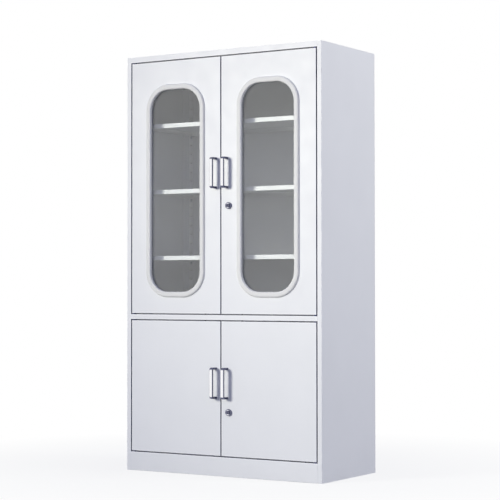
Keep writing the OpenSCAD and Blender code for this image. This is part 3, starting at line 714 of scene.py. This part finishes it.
def cross(reach, half):
    return lambda a: max(in_box(a, reach, half), in_box(a, half, reach))


def hexagon(across, limit=math.inf):
    """A hexagon of this width across its flats, its corners turned down to the limit."""
    sixth = math.pi / 3
    return lambda a: min(across / 2 / math.cos((a + sixth / 2) % sixth - sixth / 2), limit)


def depths(node_name):
    """Where a node starts and ends, in millimetres back from the front frame."""
    low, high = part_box(node_name)
    return (low.y - FRONT) / MM, (high.y - FRONT) / MM


def axis_of(node_name):
    """Where the axis of a turned node meets the front frame."""
    low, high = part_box(node_name)
    middle = (low + high) / 2
    return middle.x, FRONT, middle.z


PLUG_HOLE_R = 6.1
HEAD_R = 14.0
THREAD_R, THREAD_ROOT_R = 9.0, 8.6
THREAD_TURNS = 10
NUT_ACROSS, NUT_BEVEL_R = 24.0, 12.6
PLUG_R = 5.95
KEYWAY = box_hole(1.2, 4.0)
SHANK = box_hole(2.8, 2.8)
SHANK_SLOT = cross(2.4, 0.5)
SCREW_SLOT = cross(2.3, 0.45)


def lock_head(level):
    """Head with a bevelled rim, a sunk ring and a collar, on a threaded body."""
    node_name = f"{level}_lock_barrel"
    face, back = depths(node_name)
    rows = [(back, PLUG_HOLE_R), (face + 0.8, PLUG_HOLE_R), (face + 0.4, 6.5), (face + 0.4, 7.1)]
    rows += [(face + 1.9, 7.4), (face + 0.3, 11.4), (face, 11.7), (face, 12.3), (face + 1.7, 13.8)]
    rows += [(face + 2.2, HEAD_R), (-0.3, HEAD_R), (0.0, HEAD_R - 0.3)]
    rows += [(0.0, THREAD_R), (1.2, THREAD_R)]
    for k in range(THREAD_TURNS):
        rows += [(1.5 + k, THREAD_ROOT_R), (2.0 + k, THREAD_R)]
    rows += [(back, THREAD_ROOT_R)]
    bm = bmesh.new()
    turned(bm, rows, axis_of(node_name), hollow=True)
    name, body = f"lock_head_{level}", f"{level}_right_door"
    make_piece(name, bm, LOCK_CHROME, body, [node_name])


def lock_core(level):
    """Plug with its keyway, the square shank behind it and the screw on the shank's end."""
    node_name = f"{level}_lock_plug"
    face, end = depths(node_name)
    plug = [(face + 6.5, KEYWAY), (face, KEYWAY), (face, 5.4), (face + 0.5, PLUG_R), (12.0, PLUG_R)]
    screw = [(end - 1.4, SHANK_SLOT), (end, SHANK_SLOT), (end, 2.9), (end - 0.5, 4.0)]
    screw += [(end - 1.4, 4.5), (end - 2.5, 4.5)]
    bm = bmesh.new()
    for rows in (plug, [(11.5, SHANK), (end - 2.0, SHANK)], screw):
        turned(bm, rows, axis_of(node_name))
    name, body = f"lock_core_{level}", f"{level}_lock"
    make_piece(name, bm, LOCK_CHROME, body, [node_name])


def lock_hex_nut(level):
    node_name = f"{level}_lock_nut"
    start, end = depths(node_name)
    corners, bevel = hexagon(NUT_ACROSS), hexagon(NUT_ACROSS, NUT_BEVEL_R)
    rows = [(start, 9.1), (start, bevel), (start + 0.6, corners), (end - 0.6, corners)]
    rows += [(end, bevel), (end, 9.7), (end - 0.5, 9.1)]
    bm = bmesh.new()
    turned(bm, rows, axis_of(node_name), hollow=True)
    name, body = f"lock_hex_nut_{level}", f"{level}_right_door"
    make_piece(name, bm, ZINC, body, [node_name])


def pan_screws(level, side):
    """Two screws from inside the door into the handle's feet, each head with a cross in it."""
    node_name = f"{level}_{side}_handle_screws"
    low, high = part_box(node_name)
    head_r, shaft_r = 4.0, 2.0
    rows = [(1.9, SCREW_SLOT), (3.5, SCREW_SLOT), (3.5, 2.6), (3.2, 3.4), (2.5, 3.9), (1.7, head_r)]
    rows += [(1.0, head_r), (1.0, shaft_r), (-10.0, shaft_r)]
    bm = bmesh.new()
    for z in (low.z + head_r * MM, high.z - head_r * MM):
        turned(bm, rows, ((low.x + high.x) / 2, FRONT, z))
    name = f"pan_screws_{level}_{side}"
    make_piece(name, bm, ZINC, f"{level}_{side}_door", [node_name])


BOLT_V = 10.0
BOLT_R = 4.0
KNOB_FROM_END = 49 * MM
KNOB = ((12.0, 2.5), (21.0, 2.5), (21.6, 3.2), (22.2, 3.5), (26.0, 3.5), (26.7, 3.1), (27.0, 2.3))


def sliding_bolt(level, end):
    """Round bolt with a bevelled end and a turned finger knob."""
    node_name = f"{level}_left_{end}_bolt"
    low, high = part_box(node_name)
    x, length = (low.x + high.x) / 2, (high.z - low.z) / MM
    rows = [(0.0, 3.2), (0.8, BOLT_R), (length - 2.2, BOLT_R), (length - 0.6, 3.5), (length, 2.6)]
    knob_z = high.z - KNOB_FROM_END
    if end == "bottom":
        rows = [(length - along, r) for along, r in reversed(rows)]
        knob_z = low.z + KNOB_FROM_END
    bm = bmesh.new()
    turned(bm, rows, (x, FRONT + BOLT_V * MM, low.z), axis="z")
    turned(bm, KNOB, (x, FRONT, knob_z), steps=KNOB_STEPS)
    name = f"round_bolt_{level}_{end}"
    make_piece(name, bm, BOLT_CHROME, node_name, [node_name])


for side in SIDES:
    window_moulding(side)
for level in LEVELS:
    for side in SIDES:
        make_handle(level, side)
for side in SIDES:
    glazing_bead(side)
    for level in LEVELS:
        pan_screws(level, side)
for level in LEVELS:
    lock_head(level)
    lock_core(level)
    lock_hex_nut(level)
    for end in ("top", "bottom"):
        sliding_bolt(level, end)


# Camera, at the place that the photograph was fitted from

CAMERA_PLACE = Vector((3.600, FRONT - 5.5193, 0.7773))
CAMERA_YAW, CAMERA_PITCH, CAMERA_ROLL = 0.5598, 0.0225, -0.0007
CAMERA_LENS = 115.74


def look_from(place, yaw, pitch, roll):
    flat = math.cos(pitch)
    ahead = Vector((-math.sin(yaw) * flat, math.cos(yaw) * flat, math.sin(pitch)))
    right = Vector((math.cos(yaw), math.sin(yaw), 0.0))
    up = right.cross(ahead)
    c, s = math.cos(roll), math.sin(roll)
    right, up = c * right + s * up, c * up - s * right
    turn = Matrix((right, up, -ahead)).transposed().to_4x4()
    return Matrix.Translation(place) @ turn


camera = bpy.data.objects.new("camera", bpy.data.cameras.new("camera"))
scene.collection.objects.link(camera)
camera.data.sensor_width = 36.0
camera.data.lens = CAMERA_LENS
camera.data.clip_start, camera.data.clip_end = 0.1, 200.0
camera.matrix_world = look_from(CAMERA_PLACE, CAMERA_YAW, CAMERA_PITCH, CAMERA_ROLL)
scene.camera = camera


# Floor, background and lamps

FLOOR_SIZE = 400.0
FLOOR_LEVEL = -0.2 * MM
FLOOR_WHITE, FLOOR_TO_BOUNCES = 0.80, 0.30
SHADOW_FROM, SHADOW_TO, SHADOW_GLOW = 0.5, 1.9, 0.81
WORLD_LIGHT, WORLD_BLUE = 0.48, (0.56, 0.62, 1.0)

scene.view_settings.view_transform = "Standard"


def seen_directly(tree, path):
    """Holds for rays from the camera, also through glass and by way of a mirror."""
    kinds = ("Is Camera Ray", "Is Glossy Ray", "Is Transmission Ray")
    return any_of(tree, *(path.outputs[kind] for kind in kinds))


def make_floor():
    """A pale floor that shows white to the camera, and keeps the cabinet's shadow."""
    bm = bmesh.new()
    bmesh.ops.create_grid(bm, x_segments=2, y_segments=2, size=FLOOR_SIZE)
    mesh = bpy.data.meshes.new("floor")
    bm.to_mesh(mesh)
    bm.free()
    obj = bpy.data.objects.new("floor", mesh)
    scene.collection.objects.link(obj)
    obj.location = (0.0, 0.0, FLOOR_LEVEL)
    mat = bpy.data.materials.new("floor_white")
    tree, out = empty_tree(mat, "ShaderNodeOutputMaterial")
    matt = node(tree, "ShaderNodeBsdfDiffuse", {"Color": rgba(*[FLOOR_WHITE] * 3)})
    dull = node(tree, "ShaderNodeBsdfDiffuse", {"Color": rgba(*[FLOOR_TO_BOUNCES] * 3)})
    glow = node(tree, "ShaderNodeEmission", {"Color": rgba(1.0, 1.0, 1.0), "Strength": 1.0})
    path = node(tree, "ShaderNodeLightPath")
    x, y, _ = split(tree)
    squares = (math_node(tree, "MULTIPLY", part, part) for part in (x, y))
    away = math_node(tree, "SQRT", math_node(tree, "ADD", *squares))
    glow_share = ramp(tree, away, SHADOW_FROM, SHADOW_TO, SHADOW_GLOW, 1.0)
    ground = mix_shader(tree, path.outputs["Is Diffuse Ray"], matt, dull)
    shown = mix_shader(tree, all_of(tree, seen_directly(tree, path), glow_share), ground, glow)
    tree.links.new(shown.outputs[0], out.inputs[0])
    mesh.materials.append(mat)


def make_world():
    """A white background over a dimmer and bluer light from all round."""
    scene.world = bpy.data.worlds.new("studio")
    tree, out = empty_tree(scene.world, "ShaderNodeOutputWorld")
    light = {"Color": rgba(*WORLD_BLUE), "Strength": WORLD_LIGHT}
    dim = node(tree, "ShaderNodeBackground", light)
    white = node(tree, "ShaderNodeBackground", {"Color": rgba(1.0, 1.0, 1.0), "Strength": 1.0})
    seen = seen_directly(tree, node(tree, "ShaderNodeLightPath"))
    tree.links.new(mix_shader(tree, seen, dim, white).outputs[0], out.inputs[0])


def make_lamp(
    name,
    azimuth,
    elevation,
    distance,
    size,
    power,
    target,
    colour=(1.0, 1.0, 1.0),
    spread=180.0,
    aim=None,
):
    """A square softbox. Azimuth 0 is in front of the doors and 90 is to their right."""
    data = bpy.data.lights.new(name, "AREA")
    data.shape, data.size, data.size_y = "RECTANGLE", size, size
    data.energy, data.color, data.spread = power, colour, math.radians(spread)
    lamp = bpy.data.objects.new(name, data)
    scene.collection.objects.link(lamp)
    lamp.visible_camera = False
    a, e = math.radians(azimuth), math.radians(elevation)
    away = Vector((math.sin(a) * math.cos(e), -math.cos(a) * math.cos(e), math.sin(e)))
    lamp.location = Vector(target) + away * distance
    towards = Vector(aim or target) - lamp.location
    lamp.rotation_euler = towards.to_track_quat("-Z", "Y").to_euler()
    return lamp


def linked(lamp, objects, suffix):
    """Links a lamp to some objects. Alone, that makes it light these and nothing else."""
    group = bpy.data.collections.new(lamp.name + suffix)
    lamp.light_linking.receiver_collection = group
    for obj in objects:
        group.objects.link(obj)
    return group


def spare(lamp, objects):
    """Keeps a lamp off some pieces, as a photographer does with flags."""
    for entry in linked(lamp, objects, "_spares").collection_objects:
        entry.light_linking.link_state = "EXCLUDE"


def named(*prefixes):
    return [obj for obj in scene.objects if obj.name.startswith(prefixes)]


make_floor()
make_world()
mirrors = named("bow_handle_", "lock_head_", "lock_core_")
mirrors += [nodes["upper_left_glass"], nodes["upper_right_glass"]]
back = [nodes[name] for name in ("upper_back_panel", "lower_back_panel", "rear_shelf_uprights")]

# The key is one softbox in two parts, aimed past the upper half of the cabinet and past the lower
key_parts = (
    ("key_high", 15.9, (1.0, 0.975, 0.79), (1.4, -0.2, 1.5)),
    ("key_low", 26.1, (0.988, 0.998, 0.935), (1.4, -0.2, 0.3)),
)
for name, power, colour, aim in key_parts:
    key = make_lamp(
        name,
        azimuth=-29.5,
        elevation=9.0,
        distance=6.0,
        size=1.5,
        power=power,
        target=(0.1, -0.2, 1.35),
        colour=colour,
        spread=60.0,
        aim=aim,
    )
    spare(key, mirrors + back)

side_lamp = make_lamp(
    "side",
    azimuth=100.0,
    elevation=25.0,
    distance=5.0,
    size=2.0,
    power=132.0,
    target=(0.4, 0.0, 1.2),
    colour=(0.998, 1.0, 0.91),
)
spare(side_lamp, mirrors)
rear_lamp = make_lamp(
    "rear",
    azimuth=200.0,
    elevation=45.0,
    distance=5.0,
    size=2.5,
    power=190.0,
    target=(0.0, 0.1, 1.1),
    colour=(1.0, 0.988, 0.865),
)
spare(rear_lamp, mirrors + [scene.objects["floor"]])

# Small lamps that light the window trims alone, and the shelves behind the windows alone
window_fill = make_lamp(
    "window_fill",
    azimuth=48.0,
    elevation=3.0,
    distance=3.0,
    size=1.0,
    power=7.0,
    target=(0.0, -0.2, 1.2),
)
linked(window_fill, named("window_moulding_", "glazing_bead_"), "_lights")
shelf_fill = make_lamp(
    "shelf_fill",
    azimuth=15.0,
    elevation=-4.0,
    distance=3.0,
    size=1.0,
    power=7.0,
    target=(0.1, 0.0, 1.2),
)
shelves = [nodes[name] for name in ("top_shelf", "middle_shelf", "bottom_shelf")]
linked(shelf_fill, shelves, "_lights")
